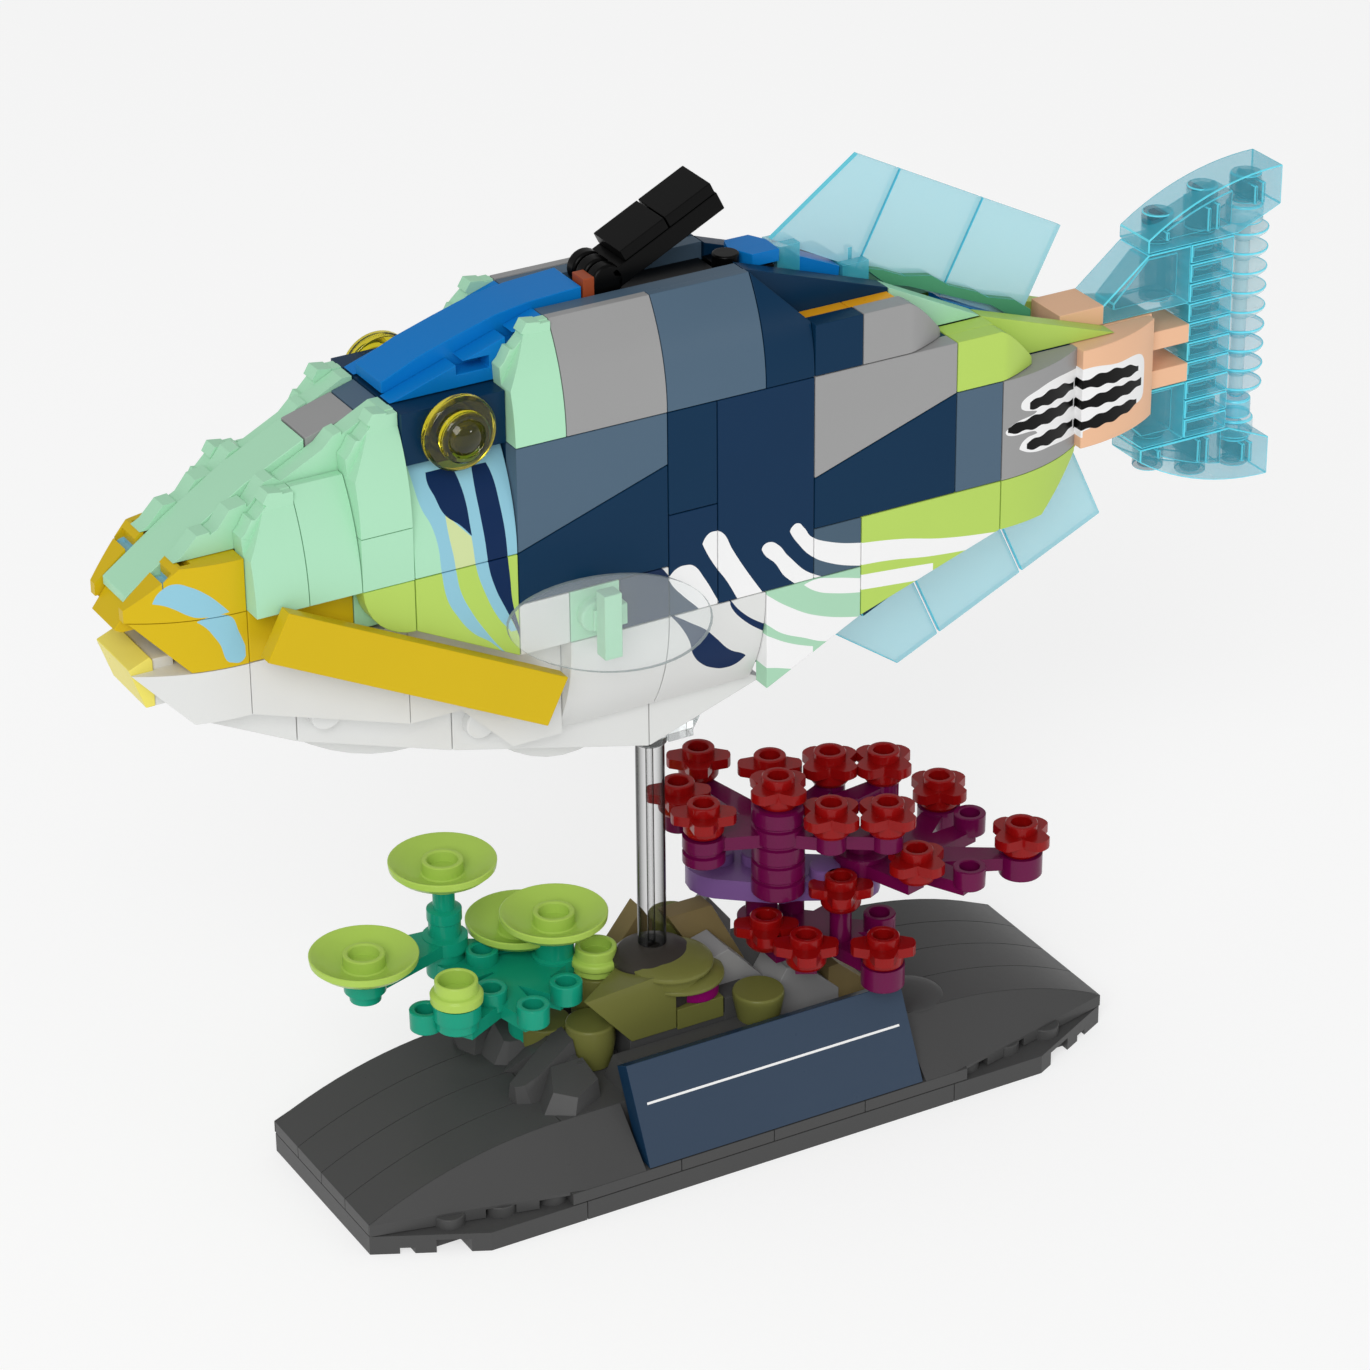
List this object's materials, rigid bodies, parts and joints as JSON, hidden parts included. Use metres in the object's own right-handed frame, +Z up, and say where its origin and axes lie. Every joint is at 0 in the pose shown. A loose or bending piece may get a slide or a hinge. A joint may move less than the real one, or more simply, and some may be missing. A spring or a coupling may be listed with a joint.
{
  "type": "brick-built triggerfish display model",
  "caption": "Toy-brick triggerfish on a clear rod above a dark base with a plaque, rocks, a leafy plant and coral, as a desk display",
  "frame": {"origin": "centre of the bottom of the base, on the floor", "axes": "+Z up, -X towards the fish's mouth, -Y towards the viewer's side with the plaque"},
  "size_m": [0.1928, 0.048, 0.1506],
  "materials": {
    "mint": "glossy moulded plastic",
    "yellow": "glossy moulded plastic",
    "lime": "glossy moulded plastic",
    "navy": "glossy moulded plastic",
    "slate": "glossy moulded plastic",
    "blue": "glossy moulded plastic",
    "gray": "glossy moulded plastic",
    "nougat": "glossy moulded plastic",
    "white": "glossy moulded plastic",
    "black": "glossy moulded plastic",
    "clear_blue": "glossy moulded plastic",
    "clear": "glossy moulded plastic",
    "dark_gray": "glossy moulded plastic",
    "plaque": "glossy moulded plastic",
    "olive": "glossy moulded plastic",
    "teal": "glossy moulded plastic",
    "red": "glossy moulded plastic"
  },
  "bodies": {
    "root": {"anal_fin": "clear_blue", "back_left": "slate", "back_right": "slate", "belly_left": "white", "belly_right": "white", "body_core": "navy", "cheek_bar_left": "yellow", "cheek_bar_right": "yellow", "cheek_left": "mint", "cheek_right": "mint", "dorsal_clip": "slate", "dorsal_fin": "clear_blue", "eye_left": "navy", "eye_right": "navy", "face_left": "lime", "face_right": "lime", "flank_left": "navy", "flank_right": "navy", "forehead": "blue", "jaw_left": "white", "jaw_right": "white", "keel": "white", "lip_left": "yellow", "lip_right": "yellow", "lower_flank_left": "lime", "lower_flank_right": "lime", "lower_lip": "yellow", "pectoral_fin_left": "clear", "pectoral_fin_right": "clear", "rear_back_left": "lime", "rear_back_right": "lime", "ridge_blocks": "gray", "snout_ridge": "mint", "spine_mount": "black", "stalk_end_left": "nougat", "stalk_end_right": "nougat", "stalk_side_left": "gray", "stalk_side_right": "gray", "stand_base": "dark_gray", "stand_coral": "red", "stand_hill": "olive", "stand_plant": "teal", "stand_plaque": "plaque", "stand_rocks": "dark_gray", "stand_rod": "clear", "tail_discs": "clear_blue", "tail_fin": "clear_blue", "tail_stalk": "nougat", "trigger_spine": "black", "upper_lip": "yellow"}
  },
  "joints": []
}
